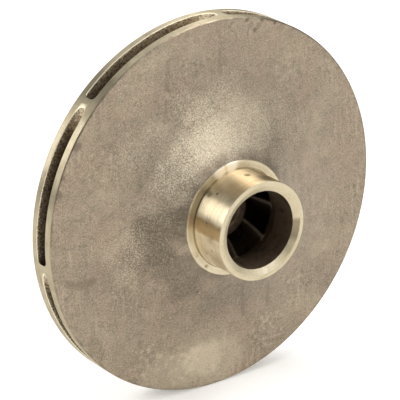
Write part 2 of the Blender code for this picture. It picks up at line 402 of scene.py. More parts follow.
def revolve(name: str, runs: Sequence[Run], segments: int, fade: float = 3.0 * MM) -> Object:
    """Turn an outline about the shaft and let its cast surfaces swell and sink a little.

    Args:
        name: Name of the new object.
        runs: Stretches of the closed outline. Each starts where the one before it ends.
        segments: Number of steps round the shaft.
        fade: Distance from a stretch's ends over which its swell dies away.

    Returns:
        The turned object, linked to the scene.
    """
    outline, zones, swells = joined(runs, fade)
    along = np.roll(outline, -1, axis=0) - np.roll(outline, 1, axis=0)
    along /= np.linalg.norm(along, axis=1)[:, None]
    turns = np.arange(segments) * math.tau / segments
    across, up, level = np.cos(turns), np.sin(turns), np.ones(segments)
    rings = []
    for (radius, height), (inward, rise), swell in zip(outline, along, swells):
        ring = np.column_stack((radius * across, radius * up, height * level))
        if swell > 0.0:
            lift = np.array([swell * relief(Vector(place), SWELLS) for place in ring])
            ring += lift[:, None] * np.column_stack((rise * across, rise * up, -inward * level))
        rings.append(ring)
    corners = np.arange(len(outline) * segments).reshape(len(outline), segments)
    below = np.roll(corners, -1, axis=0)
    faces = np.stack((corners, below, np.roll(below, -1, axis=1), np.roll(corners, -1, axis=1)), axis=-1)
    mesh = bpy.data.meshes.new(name)
    mesh.from_pydata(np.concatenate(rings).tolist(), [], faces.reshape(-1, 4).tolist())
    mesh.polygons.foreach_set("material_index", np.repeat(zones, segments))
    work = bmesh.new()
    work.from_mesh(mesh)
    return finished(work, mesh)


def finished(work: bmesh.types.BMesh, mesh: bpy.types.Mesh) -> Object:
    """Turn the faces of a closed piece of work outwards and put it in the scene.

    Args:
        work: The work. It is freed.
        mesh: The mesh that takes it.

    Returns:
        The new object, named as its mesh.
    """
    bmesh.ops.recalc_face_normals(work, faces=work.faces)
    if work.calc_volume(signed=True) < 0.0:
        bmesh.ops.reverse_faces(work, faces=work.faces)
    work.to_mesh(mesh)
    work.free()
    obj = bpy.data.objects.new(mesh.name, mesh)
    bpy.context.scene.collection.objects.link(obj)
    return obj


def relief(place: Vector, lumps: Iterable[Point]) -> float:
    """Height of a rough surface at a place, from the height and the width of each kind of lump."""
    return sum(height * noise.noise(place / width) for height, width in lumps)


@dataclass(frozen=True)
class SandCore:
    """One of the seven sand cores that leave the water passages.

    Attributes:
        sizes: The impeller's sizes.
        number: Which core, counted the way the vanes are.
        lift: How much too high its floor lies at the rim.
        sink: How far the core is let into floor and ceiling.
        inlet_land: Thickness of a vane right at its inlet edge.
        feather: How far the ramp end of a slot is cut on past the vane's back.
        feather_power: How late along the core that cut grows.
        inlet_body: Thickness of a vane just behind that edge.
        nose_length: Length over which the inlet edge is rounded.
        full_thickness_at: Distance from the inlet where a vane has its full thickness.
        fillet: Radius of the fillets between vane and shroud near the inlet.
        rim_fillet: Height of those fillets at the rim.
        rim_power: How late along the core they grow to that.
        ramp_run: Length of the fillet round the rim where the vane's back runs out as a ramp.
        heel_run: The same where the vane overhangs.
        edge_break: How far the filed edge of a slot is set back.
        roughness: Depth of the core sand's print.
        rough_after: Distance from the inlet where the print has that depth.
        grit: Height, as a share of that depth, and width of the print's coarse and fine lumps.
        lead_foot: How far from the inlet edge's foot the core starts, outwards and up.
        lead_head: The same from that edge's head.
        run_out: How far past the rim the core's last two sections lie.
    """

    sizes: ImpellerSizes
    number: int
    lift: float = 0.0
    sink: float = 0.05 * MM
    inlet_land: float = 0.35 * MM
    feather: float = 1.2 * MM
    feather_power: int = 8
    inlet_body: float = 1.7 * MM
    nose_length: float = 1.4 * MM
    full_thickness_at: float = 20.0 * MM
    fillet: float = 1.1 * MM
    rim_fillet: float = 1.9 * MM
    rim_power: int = 3
    ramp_run: float = 6.0 * MM
    heel_run: float = 1.6 * MM
    edge_break: float = 0.26 * MM
    roughness: float = 0.09 * MM
    rough_after: float = 6.0 * MM
    grit: tuple[Point, Point] = ((1.0, 2.6 * MM), (0.5, 1.2 * MM))
    lead_foot: Point = (-0.25 * MM, 1.25 * MM)
    lead_head: Point = (-1.3 * MM, 0.2 * MM)
    run_out: Point = (0.2 * MM, 1.0 * MM)

    def corners(self, run_start: float, run_end: float, rise: float) -> list[Point]:
        """Rounded outline of a section, in shares of its width and of its height.

        Args:
            run_start: Share of the width that the two corners at the start take.
            run_end: Share of the width that the two corners at the end take.
            rise: Share of the height that every corner takes.

        Returns:
            The points of the closed outline, in order.
        """
        quarters = (
            (1.0 - run_end, rise, -90.0, run_end),
            (1.0 - run_end, 1.0 - rise, 0.0, run_end),
            (run_start, 1.0 - rise, 90.0, run_start),
            (run_start, rise, 180.0, run_start),
        )
        corner_steps = 5
        side_steps = (6, 24, 6, 24)
        rounded: list[list[Point]] = []
        for along, upward, first, run in quarters:
            turns = np.radians(np.linspace(first, first + 90.0, corner_steps + 1))
            rounded.append([
                (along + run * math.cos(turn), upward + rise * math.sin(turn)) for turn in turns
            ])
        points: list[Point] = []
        for corner, following, steps in zip(rounded, rounded[1:] + rounded[:1], side_steps):
            points.extend(corner)
            points.extend(curve((corner[-1], following[0]), steps)[1:-1])
        return points

    def stations(self) -> np.ndarray:
        """Places along the core, finer at both ends.

        Returns:
            Their distances from the inlet, as shares of the whole length.
        """
        near_inlet = np.array([0.0015, 0.004, 0.008, 0.013, 0.019, 0.026, 0.036])
        middle = np.linspace(0.05, 0.93, 40)
        near_rim = np.array([0.945, 0.958, 0.969, 0.978, 0.986, 0.992, 0.997, 1.0])
        return np.concatenate((near_inlet, middle, near_rim))

    def thickness(self, distance: float) -> float:
        """Thickness of a vane.

        Args:
            distance: Distance from its inlet edge.

        Returns:
            The thickness.
        """
        nose = math.sqrt(max(0.0, 1.0 - (1.0 - min(1.0, distance / self.nose_length)) ** 2))
        body = self.inlet_land + (self.inlet_body - self.inlet_land) * nose
        growth = min(1.0, distance / self.full_thickness_at)
        return body + (self.sizes.vane_thickness - self.inlet_body) * growth

    def sections(self, floor: np.ndarray, ceiling: np.ndarray) -> list[Section]:
        """Places of the core's sections, from inside the eye out past the rim.

        Args:
            floor: Line that the sections stand on.
            ceiling: Line that they reach up to.

        Returns:
            The share of the length at each, its foot and its head.
        """
        sections: list[Section] = []
        lines = [(line, distances(line)) for line in (floor, ceiling)]
        for share in self.stations():
            foot, head = (
                np.array([np.interp(share * length[-1], length, line[:, axis]) for axis in (0, 1)])
                for line, length in lines
            )
            foot[1] += self.lift * share ** self.rim_power
            sections.append((share, foot, head))
        (_, inlet_foot, inlet_head), (_, rim_foot, rim_head) = sections[0], sections[-1]
        lead_in = (0.0, inlet_foot + self.lead_foot, inlet_head + self.lead_head)
        run_out = [(1.0, rim_foot + (reach, 0.0), rim_head + (reach, 0.0)) for reach in self.run_out]
        return [lead_in, *sections, *run_out]

    def ring(self, section: Section, distance: float, camber: Camber, folded: bool = False) -> list[Vector]:
        """Outline of the core at one of its sections.

        Args:
            section: The section.
            distance: Its distance from the inlet.
            camber: Middle line of a vane.
            folded: Whether the outline is folded flat onto the section's middle.

        Returns:
            The points of the closed outline, in order.
        """
        share, foot, head = section
        radii, angles, sines = camber
        sizes = self.sizes
        pitch = math.tau / sizes.vane_count
        first = math.radians(sizes.first_tip) + self.number * pitch
        grown = max(0.0, foot[0] - (sizes.outer_radius - self.edge_break))
        upright = (head - foot) / np.linalg.norm(head - foot)
        foot, head = foot - upright * (self.sink + grown), head + upright * (self.sink + grown)
        middle_radius = (foot[0] + head[0]) / 2.0
        sine = float(np.interp(middle_radius, radii, sines))
        thickness = self.thickness(distance)
        toward_rim = share ** self.rim_power
        width = middle_radius * pitch - thickness / sine
        near = self.fillet / sine
        run_start, run_end = (
            (near + (run - near) * toward_rim) / width for run in (self.ramp_run, self.heel_run)
        )
        rise = (self.fillet + (self.rim_fillet - self.fillet) * toward_rim) / np.linalg.norm(head - foot)
        points = []
        for along, upward in self.corners(run_start, run_end, float(rise)):
            radius, height = foot + (head - foot) * (0.5 if folded else upward)
            lean, turn = (float(np.interp(radius, radii, values)) for values in (sines, angles))
            heel = (thickness / 2.0 / lean - grown) / radius
            ramp = heel - self.feather * share ** self.feather_power / radius
            angle = first + turn + ramp + (pitch - ramp - heel) * along
            points.append(Vector((radius * math.cos(angle), radius * math.sin(angle), height)))
        return points

    def build(self) -> Object:
        """Loft the core from inside the eye out past the rim, closed by a folded section at both ends.

        Returns:
            The closed core, linked to the scene.
        """
        camber, floor, ceiling = self.sizes.camber(), self.sizes.floor(), self.sizes.ceiling()
        length = distances(ceiling)[-1]
        sections = self.sections(floor, ceiling)
        rings = []
        for section in sections:
            distance = section[0] * length
            rings.append((self.ring(section, distance, camber),
                          self.roughness * min(1.0, distance / self.rough_after)))
        start, end = (self.ring(section, section[0] * length, camber, folded=True)
                      for section in (sections[0], sections[-1]))
        return self.skin([(start, 0.0), *rings, (end, 0.0)])

    def skin(self, rings: Sequence[tuple[list[Vector], float]]) -> Object:
        """Join the outlines into a rough core.

        Args:
            rings: Each outline and how rough its surface is. The first and last are folded flat.

        Returns:
            The core, linked to the scene.
        """
        work = bmesh.new()
        rows = []
        for ring, rough in rings:
            centre = sum(ring, Vector()) / len(ring)
            row = []
            for point in ring:
                away = (point - centre).normalized()
                row.append(work.verts.new(point + away * rough * relief(point, self.grit)))
            rows.append(row)
        for before, after in zip(rows, rows[1:]):
            for index in range(len(before)):
                work.faces.new((before[index - 1], before[index], after[index], after[index - 1]))
        for face in work.faces:
            face.material_index = int(Zone.CORED)
        bmesh.ops.remove_doubles(work, verts=rows[0] + rows[-1], dist=0.001 * MM)
        return finished(work, bpy.data.meshes.new(f"sand_core_{self.number + 1}"))


@dataclass(frozen=True)
class Piece:
    """A piece of the impeller: the solids that it stands for, and how it is dressed and laid down.

    Attributes:
        sizes: The impeller's sizes.
        joint: Half the hairline that parts the two pieces.
        name: The piece's name.
        slot: The record's material slot for the piece. It is not used.
        replaced: The solids that it stands for.
    """

    sizes: ImpellerSizes
    joint: float = 0.01 * MM

    name: ClassVar[str]
    slot: ClassVar[str]
    replaced: ClassVar[tuple[str, ...]]

    def dress(self, work: Iterable[Object], finishes: Mapping[Zone, Material]) -> None:
        """Give each object that the piece is made from the finish of every zone.

        Args:
            work: The objects.
            finishes: The finish of each surface.
        """
        for obj in work:
            for zone in Zone:
                obj.data.materials.append(finishes[zone])

    def seat(self, obj: Object) -> Object:
        """Lay the piece down with its shaft along Y, and let it stand for its solids.

        Args:
            obj: The piece, modelled with its shaft along Z.

        Returns:
            The piece.
        """
        obj.rotation_euler = (math.radians(90.0), 0.0, 0.0)
        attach(obj, "root")
        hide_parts(*self.replaced)
        return obj


@dataclass(frozen=True)
class CastBody(Piece):
    """The casting without its turned neck: shrouds, vanes and hub in one metal.

    Attributes:
        segments: Steps round the shaft.
        swell: How far the sand-cast faces wander off true.
        rim_break: How far the front edge of the turned rim is eased.
        back_corner: Round of the back shroud's edge.
        boss_radius: Radius of the boss behind the back shroud.
        boss_fillet: Fillet between that boss and the back shroud.
        keyway_width: Width of the keyway in the bore.
        keyway_reach: Distance from the shaft's axis to the keyway's floor.
        core_lifts: How much too high the floor of each core lies at the rim, as cores shift in a mould.
    """

    segments: int = 288
    swell: float = 0.10 * MM
    rim_break: float = 0.12 * MM
    back_corner: float = 0.5 * MM
    boss_radius: float = 12.7 * MM
    boss_fillet: float = 1.4 * MM
    keyway_width: float = 3.175 * MM
    keyway_reach: float = 7.95 * MM
    core_lifts: tuple[float, ...] = (0.1 * MM, 0.2 * MM, 1.2 * MM, 0.3 * MM, 0.0, 0.2 * MM, 0.1 * MM)

    name: ClassVar[str] = "impeller_casting"
    slot: ClassVar[str] = "cast_bronze"
    replaced: ClassVar[tuple[str, ...]] = (
        "front_shroud_rim", "front_shroud_plate", "front_shroud_slope", "front_shroud_cone",
        "back_shroud", "hub_web", "shaft_hub",
        *(f"vane_{number + 1}" for number in range(ImpellerSizes.vane_count)),
    )

    def runs(self) -> list[Run]:
        """Outline of the blank before the cores are taken out of it.

        Returns:
            Its stretches, from the collar over the rim, the back, the bore and the nose to the throat.
        """
        sizes = self.sizes
        rim, corner, back_face = sizes.outer_radius, sizes.front_corner, sizes.back_face
        rim_step, back_step, bore_step, inlet_step = (step * MM for step in (1.0, 2.0, 4.0, 0.8))
        dish_points, throat_steps, throat_gap = 36, 24, 0.05 * MM
        parting = sizes.parting(-self.joint)
        dish_end = rim - corner
        radii = np.linspace(sizes.collar_radius, dish_end, dish_points)[1:]
        dish = [parting[0]] + [(float(radius), sizes.dish(float(radius))) for radius in radii]
        bevel_top, bevel_foot = (dish_end, sizes.front_edge), (rim, sizes.front_edge - corner)
        back_edge = (rim, back_face)
        front_band = spaced(bevel_foot, (rim, back_face + self.back_corner), rim_step)
        rims = eased(bevel_top, bevel_foot, front_band[1], self.rim_break) + front_band[1:-1]
        rims += eased(front_band[-2], back_edge, (0.0, back_face), self.back_corner)
        step_foot, boss_edge = (self.boss_radius, back_face), (self.boss_radius, 0.0)
        back_foot = eased(back_edge, step_foot, boss_edge, self.boss_fillet)
        back = spaced(rims[-1], back_foot[0], back_step)
        boss = back_foot + eased(step_foot, boss_edge, (0.0, 0.0), self.back_corner)
        mouth = sizes.shaft_radius + sizes.bore_chamfer
        bore_ends = (sizes.bore_chamfer, sizes.nose - sizes.bore_chamfer)
        bore_wall = spaced(*((sizes.shaft_radius, height) for height in bore_ends), bore_step)
        bore = [(mouth, 0.0), *bore_wall, (mouth, sizes.nose)]
        nose_edge = (sizes.nose_radius, sizes.nose)
        nose = [bore[-1]] + eased(bore[-1], nose_edge, sizes.inlet_foot(), sizes.nose_round)
        top = sizes.inlet_top()
        inlet = spaced(nose[-1], top, inlet_step)
        throat = [point for point in sizes.throat(throat_steps) if point[1] > top[1] + throat_gap]
        return [
            Run(Zone.SAND_CAST, dish, self.swell),
            Run(Zone.SAND_CAST, [bevel_top, rims[0]]),
            Run(Zone.RIM, rims),
            Run(Zone.SAND_CAST, back, self.swell),
            Run(Zone.SAND_CAST, boss),
            Run(Zone.FACED, [boss[-1], bore[0]]),
            Run(Zone.BORED, bore),
            Run(Zone.CORED, nose),
            Run(Zone.WORN, inlet),
            Run(Zone.CORED, [top] + throat[:-1] + [parting[-1]]),
            Run(Zone.CORED, parting[::-1]),
        ]

    def keyway(self) -> Object:
        """The bar that cuts the keyway.

        Returns:
            The bar, which reaches from the middle of the bore outwards.
        """
        bpy.ops.mesh.primitive_cube_add(size=1.0)
        bar = bpy.context.object
        length = 2.0 * self.sizes.nose
        bar.data.transform(Matrix.Diagonal((self.keyway_width, self.keyway_reach, length, 1.0)))
        bar.data.transform(Matrix.Translation((0.0, self.keyway_reach / 2.0, self.sizes.nose / 2.0)))
        bar.data.polygons.foreach_set("material_index", [int(Zone.BORED)] * len(bar.data.polygons))
        return bar

    def build(self, finishes: Mapping[Zone, Material]) -> Object:
        """Turn the blank, dress it and its cutters, and take the cores and the keyway out of it.

        Args:
            finishes: The finish of each surface.

        Returns:
            The finished casting.
        """
        blank = revolve(self.name, self.runs(), self.segments)
        cores = (SandCore(self.sizes, number, lift) for number, lift in enumerate(self.core_lifts))
        cutters = [*(core.build() for core in cores), self.keyway()]
        self.dress([blank, *cutters], finishes)
        for cutter in cutters:
            cut = blank.modifiers.new(cutter.name, "BOOLEAN")
            cut.operation = "DIFFERENCE"
            cut.solver = "MANIFOLD"
            cut.object = cutter
        settle(blank)
        for cutter in cutters:
            bpy.data.objects.remove(cutter, do_unlink=True)
        return self.seat(blank)


@dataclass(frozen=True)
class TurnedNeck(Piece):
    """The suction neck with its collar, turned outside and left as cored inside.

    Attributes:
        segments: Steps round the shaft.
        neck_radius: Radius of the neck.
        collar_face: Height of the collar's flat face.
        edge_break: How far the turned edges are eased.
        relief_depth: Depth of the groove at the neck's root.
        relief_width: Width of that groove.
        mouth_radius: Radius where the bore's chamfer meets the end of the neck.
        mouth_depth: Depth of that chamfer.
        mouth_break: How far the chamfer's lower and upper edge are eased.
        bore_radius: Radius of the cored bore at the chamfer.
        swell: How far the cored bore wanders off true.
    """

    segments: int = 256
    neck_radius: float = 17.5 * MM
    collar_face: float = 26.66 * MM
    edge_break: float = 0.25 * MM
    relief_depth: float = 0.3 * MM
    relief_width: float = 0.45 * MM
    mouth_radius: float = 15.9 * MM
    mouth_depth: float = 1.1 * MM
    mouth_break: Point = (0.1 * MM, 0.12 * MM)
    bore_radius: float = 13.8 * MM
    swell: float = 0.08 * MM

    name: ClassVar[str] = "turned_suction_neck"
    slot: ClassVar[str] = "turned_bronze"
    replaced: ClassVar[tuple[str, ...]] = ("suction_neck", "neck_collar")

    def runs(self) -> list[Run]:
        """Outline of the neck.

        Returns:
            Its stretches, from its mouth over the outside and back up the bore.
        """
        sizes = self.sizes
        end, face = sizes.neck_end, self.collar_face
        neck_step, bore_step = 3.0 * MM, 1.2 * MM
        mouth, edge = (self.mouth_radius, end), (self.neck_radius, end)
        floor, out = self.neck_radius - self.relief_depth, self.neck_radius + self.relief_depth
        groove = [
            (self.neck_radius, face + self.relief_depth),
            (floor, face),
            (floor, face - self.relief_width),
            (out, face - self.relief_width),
            (self.neck_radius + self.relief_width, face),
        ]
        parting = sizes.parting(self.joint)
        foot, lip = parting[0], parting[-1]
        bore_top = (self.bore_radius, end - self.mouth_depth)
        end_round = eased(mouth, edge, groove[0], self.edge_break)
        neck = spaced(end_round[-1], groove[0], neck_step)
        collar_round = eased(groove[-1], (sizes.collar_radius, face), foot, self.edge_break)
        lower, upper = self.mouth_break
        chamfer = eased(lip, bore_top, mouth, lower) + eased(bore_top, mouth, edge, upper)
        bore = spaced(lip, chamfer[0], bore_step)
        return [
            Run(Zone.FACED, [chamfer[-1]] + end_round),
            Run(Zone.NECK, neck),
            Run(Zone.COLLAR, groove + collar_round + [foot]),
            Run(Zone.CORED, parting),
            Run(Zone.CORED, bore, self.swell),
            Run(Zone.CHAMFERED, chamfer),
        ]

    def build(self, finishes: Mapping[Zone, Material]) -> Object:
        """Turn the neck and dress it.

        Args:
            finishes: The finish of each surface.

        Returns:
            The finished neck.
        """
        neck = revolve(self.name, self.runs(), self.segments)
        self.dress([neck], finishes)
        settle(neck)
        return self.seat(neck)


def settle(obj: Object, crease: float = 24.0) -> None:
    """Make an object's modifiers its mesh, drop finishes it doesn't use, and shade it smooth.

    Args:
        obj: The object.
        crease: Angle in degrees over which an edge stays sharp.
    """
    graph = bpy.context.evaluated_depsgraph_get()
    mesh = bpy.data.meshes.new_from_object(obj.evaluated_get(graph))
    mesh.name = obj.name
    obj.modifiers.clear()
    obj.data = mesh
    slots = np.zeros(len(mesh.polygons), dtype=np.int32)
    mesh.polygons.foreach_get("material_index", slots)
    used = sorted(set(slots.tolist()))
    kept = [mesh.materials[slot] for slot in used]
    mesh.materials.clear()
    for material in kept:
        mesh.materials.append(material)
    mesh.polygons.foreach_set("material_index", np.searchsorted(used, slots))
    mesh.shade_smooth()
    mesh.set_sharp_from_angle(angle=math.radians(crease))


def linear(colour: str) -> tuple[float, float, float, float]:
    """Linear colour of an sRGB hex value such as #a39380.

    Args:
        colour: The hex value.

    Returns:
        Red, green, blue and full opacity.
    """
    shares = [int(colour[place:place + 2], 16) / 255.0 for place in (1, 3, 5)]
    red, green, blue = (
        share / 12.92 if share <= 0.04045 else ((share + 0.055) / 1.055) ** 2.4 for share in shares
    )
    return red, green, blue, 1.0


@dataclass(frozen=True)
class Mask:
    """Where a layer lies: a reading off the surface, eased from none to full between two values."""

    reading: Socket | float
    none: float = 0.0
    full: float = 1.0


@dataclass(frozen=True)
class Layer:
    """A colour laid over part of a surface.

    Attributes:
        colour: The colour, as sRGB hex.
        strength: How fully it covers where its masks are full.
        masks: Where it lies. Each cuts the others down.
    """

    colour: str
    strength: float
    masks: tuple[Mask, ...]


@dataclass(frozen=True)
class Spot:
    """A spot: a stain, painted shade, or a painted highlight.

    Attributes:
        place: Where its middle is: across, up and towards the neck.
        reach: Its radius.
        depth: How fully it covers the metal.
        heart: Share of the radius over which it does.
    """

    place: Place
    reach: float
    depth: float = 1.0
    heart: ClassVar[float] = 0.3


@dataclass(frozen=True)
class Sector:
    """A sector of a surface, by turn round the shaft, that takes painted shade, painted light, and on the
    neck tarnish as well.

    Attributes:
        start: Where it starts, in degrees from the left-hand side, towards the foot.
        end: Where it ends.
        depth: How fully it covers the metal.
        edge: Width of its soft edges, in degrees.
    """

    start: float
    end: float
    depth: float
    edge: float = 7.0


class Coat:
    """A material under construction: its tree, its shader and the patterns that its finish is laid with."""

    def __init__(self, name: str) -> None:
        """Start a material with a bare metal shader.

        Args:
            name: What the metal is and how its surface was made.
        """
        self.material = bpy.data.materials.new(name)
        self.material.use_nodes = True
        self.tree = self.material.node_tree
        self.shader = self.tree.nodes["Principled BSDF"]
        self.fill(self.shader, {"Metallic": 1.0})
        self.place = self.node("ShaderNodeTexCoord", output="Object")
        self.height = self.node("ShaderNodeSeparateXYZ", {0: self.place}, "Z")
        self.flat = self.node("ShaderNodeVectorMath", {0: self.place, 1: (1.0, 1.0, 0.0)},
                              operation="MULTIPLY")
        self.radius = self.node("ShaderNodeVectorMath", {0: self.flat}, "Value", operation="LENGTH")

    def node(self, kind: str, inputs: Mapping[str | int, Any] | None = None, output: str | int = 0,
             **settings: Any) -> Socket:
        """Add a node with its settings, its values and its links.

        Args:
            kind: The node's type.
            inputs: What goes into each socket: another node's output, or a value.
            output: The output that is wanted.
            settings: Properties of the node.

        Returns:
            That output.
        """
        node = self.tree.nodes.new(kind)
        for name, value in settings.items():
            setattr(node, name, value)
        self.fill(node, inputs or {})
        return node.outputs[output]

    def fill(self, node: Node, inputs: Mapping[str | int, Any]) -> None:
        """Give a node its values and its links.

        Args:
            node: The node.
            inputs: What goes into each socket: another node's output, or a value.
        """
        for name, value in inputs.items():
            if isinstance(value, Socket):
                self.tree.links.new(value, node.inputs[name])
            else:
                node.inputs[name].default_value = value

    def clouds(self, size: float, detail: float = 3.0, lumps: float = 0.55, seed: float = 0.0,
               stretch: Place = (1.0, 1.0, 1.0)) -> Socket:
        """Soft noise with lumps of a size, around one half.

        Args:
            size: Size of the lumps.
            detail: How many finer sizes are laid on them.
            lumps: How strong the finer sizes are.
            seed: Shift along the shaft that makes one pattern unlike another, in sizes.
            stretch: How the surface is scaled first. A small number draws the lumps out.

        Returns:
            The noise.
        """
        shifted = self.node("ShaderNodeVectorMath", {0: self.place, 1: stretch, 2: (0.0, 0.0, seed * size)},
                            operation="MULTIPLY_ADD")
        return self.node("ShaderNodeTexNoise", {
            "Vector": shifted, "Scale": 1.0 / size, "Detail": detail, "Roughness": lumps})

    def arcs(self, along: Socket, width: float, squeeze: float) -> Socket:
        """Noise drawn out along the rings of a turned surface.

        Args:
            along: The direction in which the rings follow one another.
            width: Width of the marks across the rings.
            squeeze: Distance that the noise travels in one radian round the shaft.

        Returns:
            The noise.
        """
        way = self.node("ShaderNodeVectorMath", {0: self.flat}, operation="NORMALIZE")
        rings = self.node("ShaderNodeCombineXYZ", {"Z": along})
        wound = self.node("ShaderNodeVectorMath", {0: way, 1: (squeeze,) * 3, 2: rings},
                          operation="MULTIPLY_ADD")
        return self.node("ShaderNodeTexNoise", {
            "Vector": wound, "Scale": 1.0 / width, "Detail": 2.0, "Roughness": 0.6})

    def marks(self, stains: Iterable[Spot], ragged: float = 1.6 * MM) -> Mask:
        """A mask of spots with ragged edges.

        Args:
            stains: The spots: stains, painted shade and painted highlights.
            ragged: Size of the raggedness.

        Returns:
            The mask, full in the middle of a spot that covers fully.
        """
        warp = self.node("ShaderNodeTexNoise", {
            "Vector": self.place, "Scale": 1.0 / ragged, "Detail": 3.0}, "Color")
        shifted = self.node("ShaderNodeVectorMath", {0: warp, 1: (ragged,) * 3, 2: self.place},
                            operation="MULTIPLY_ADD")
        covered: Any = 0.0
        for stain in stains:
            middle = [value + ragged / 2.0 for value in stain.place]
            away = self.node("ShaderNodeVectorMath", {0: shifted, 1: middle}, "Value", operation="DISTANCE")
            spot = self.node("ShaderNodeMapRange", {
                "Value": away, "From Min": stain.reach, "From Max": stain.heart * stain.reach,
                "To Max": stain.depth}, **EASED)
            covered = self.node("ShaderNodeMath", {0: spot, 1: covered}, operation="MAXIMUM")
        return Mask(covered)

    def sectors(self, sectors: Iterable[Sector], ragged: float = 0.14, bay: float = 4.0 * MM) -> Mask:
        """A mask of sectors by turn round the shaft, with wandering edges, for painted shade, painted light
        and tarnish.

        Args:
            sectors: The sectors.
            ragged: How far their edges wander, in radians.
            bay: How far apart they turn back.

        Returns:
            The mask.
        """
        back = self.node("ShaderNodeVectorMath", {0: self.flat, "Scale": -1.0}, operation="SCALE")
        up, across = (self.node("ShaderNodeSeparateXYZ", {0: back}, axis) for axis in ("Y", "X"))
        turn = self.node("ShaderNodeMath", {0: up, 1: across}, operation="ARCTAN2")
        wander = self.node("ShaderNodeMath", {0: self.clouds(bay, lumps=0.6, seed=6.0), 1: ragged, 2: turn},
                           operation="MULTIPLY_ADD")
        covered: Any = 0.0
        for sector in sectors:
            inside: Any = sector.depth
            for angle, edge in ((sector.start, sector.edge), (sector.end, -sector.edge)):
                middle, half = math.radians(angle) + ragged / 2.0, math.radians(edge) / 2.0
                past = self.node("ShaderNodeMapRange", {
                    "Value": wander, "From Min": middle - half, "From Max": middle + half,
                    "To Max": sector.depth}, **EASED)
                inside = self.node("ShaderNodeMath", {0: past, 1: inside}, operation="MINIMUM")
            covered = self.node("ShaderNodeMath", {0: inside, 1: covered}, operation="MAXIMUM")
        return Mask(covered)

    def paint(self, ground: str, layers: Iterable[Layer]) -> None:
        """Lay colours over a ground, each where its masks say, and send them to the shader.

        Args:
            ground: Colour of the ground.
            layers: The layers, lowest first.
        """
        colour: Any = linear(ground)
        for layer in layers:
            covered: Any = layer.strength
            for mask in layer.masks:
                lies = self.node("ShaderNodeMapRange", {
                    "Value": mask.reading, "From Min": mask.none, "From Max": mask.full}, **EASED)
                covered = self.node("ShaderNodeMath", {0: lies, 1: covered}, operation="MULTIPLY")
            colour = self.node("ShaderNodeMix", {0: covered, 6: colour, 7: linear(layer.colour)}, 2,
                               data_type="RGBA")
        self.fill(self.shader, {"Base Color": colour})

    def emboss(self, layers: Iterable[tuple[Socket, float]]) -> None:
        """Raise the surface by patterns that run from 0 to 1.

        Args:
            layers: Each pattern and its height.
        """
        height: Any = 0.0
        for pattern, rise in layers:
            height = self.node("ShaderNodeMath", {0: pattern, 1: rise, 2: height}, operation="MULTIPLY_ADD")
        bump = self.node("ShaderNodeBump", {"Height": height, "Distance": 1.0})
        self.fill(self.shader, {"Normal": bump})

    def dull(self, patch: float, low: float, high: float) -> None:
        """Let the roughness wander between two values in patches.

        Args:
            patch: Size of the patches.
            low: The lower value.
            high: The higher value.
        """
        gloss = self.node("ShaderNodeMapRange", {
            "Value": self.clouds(patch, 2.0, 0.5, seed=4.0), "From Min": 0.3, "From Max": 0.7,
            "To Min": low, "To Max": high}, **EASED)
        self.fill(self.shader, {"Roughness": gloss})


def spotted(depth: float, *spots: tuple[float, float, float, float]) -> tuple[Spot, ...]:
    """Spots of one depth, each from its place and its reach in millimetres; stains, painted shade and
    painted light alike.
    """
    return tuple(
        Spot((across * MM, up * MM, out * MM), reach * MM, depth) for across, up, out, reach in spots
    )


def streaked(depth: float, reach: float, *lines: tuple[Place, Place]) -> tuple[Spot, ...]:
    """Rows of spots that touch, as a run or a scratch leaves them.

    Args:
        depth: How fully they cover the metal.
        reach: Radius of each, in millimetres.
        lines: Where each row starts and ends, in millimetres.

    Returns:
        The spots.
    """
    stains: list[Spot] = []
    step_share = 0.8
    for start, end in lines:
        count = math.ceil(math.dist(start, end) / (step_share * reach))
        places = (np.array(start) + (np.array(end) - start) * step / count for step in range(count + 1))
        stains.extend(Spot(tuple(place * MM), reach * MM, depth) for place in places)
    return tuple(stains)


# In millimetres, a spot is its place across, up and towards the neck, then its reach. A streak is the
# places of its two ends.
FACE_SPOTS = (
    *spotted(0.6, (-55.5, 34.3, 14.3, 2.8), (-61.2, 24.4, 14.3, 1.7), (-62.8, 18.8, 14.3, 2.0)),
    *spotted(0.7, (13.4, 64.2, 14.3, 1.3), (19.7, 63.0, 14.3, 1.3), (16.8, 60.0, 14.3, 1.5)),
    *spotted(0.42, (-60.5, -13.3, 14.3, 2.4), (-58.5, -14.2, 14.4, 2.6), (-56.5, -14.7, 14.5, 2.8),
             (-54.5, -15.0, 14.6, 2.8), (-52.5, -15.0, 14.7, 2.6), (-50.5, -14.4, 15.0, 2.4),
             (15.0, 62.3, 14.3, 1.7), (18.2, 61.5, 14.3, 1.7)),
    *spotted(0.35, (-26.9, -50.4, 14.5, 2.2), (-31.7, -42.2, 14.9, 2.0)),
    *spotted(1.0, (25.2, 60.8, 14.3, 0.9), (-12.5, -25.9, 21.5, 0.8)),
    *streaked(0.34, 1.5, ((7.3, -29.0, 21.0), (10.7, -42.0, 16.5)),
              ((20.6, -32.8, 17.8), (21.7, -41.4, 15.8)), ((-19.1, 56.1, 14.4), (-20.1, 46.7, 15.2)),
              ((-20.6, 43.0, 15.6), (-22.1, 36.4, 16.7)), ((2.0, 56.0, 14.6), (1.3, 48.3, 15.5))),
    *streaked(0.55, 0.85, ((-31.1, 0.4, 20.5), (-25.6, 0.2, 23.0)),
              ((-25.6, 0.2, 23.0), (-20.8, -1.9, 25.5)), ((-27.8, -6.6, 21.6), (-22.6, -10.1, 23.4))),
)
